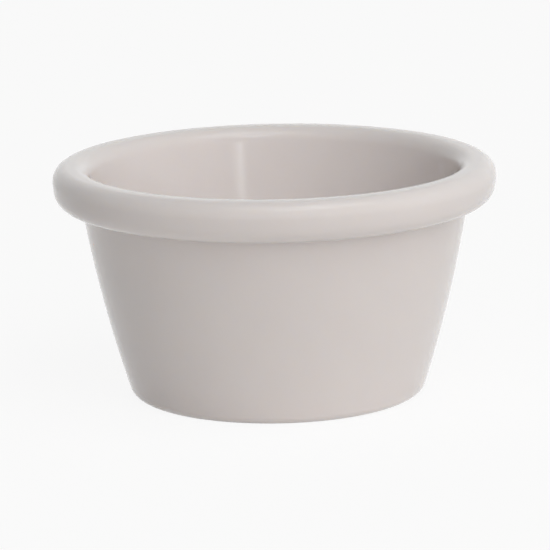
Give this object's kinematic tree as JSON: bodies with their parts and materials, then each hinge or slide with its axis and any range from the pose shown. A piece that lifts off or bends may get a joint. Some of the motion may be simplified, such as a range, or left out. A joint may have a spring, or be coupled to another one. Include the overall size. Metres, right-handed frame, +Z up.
{
  "type": "ramekin",
  "caption": "Small round sauce ramekin: tapering, slightly bulged wall, heavy rolled rim that overhangs it, plain round inside and a shallow foot ring, moulded in one piece.",
  "frame": {"origin": "centre of the foot's resting face, on the table", "axes": "+Z up along the cup's axis; the cup is round about Z, so X and Y are any two directions across it"},
  "size_m": [0.084, 0.084, 0.0445],
  "materials": {
    "melamine": "bone white melamine, compression moulded, glossy"
  },
  "bodies": {
    "root": {"cup": "melamine"}
  },
  "joints": []
}
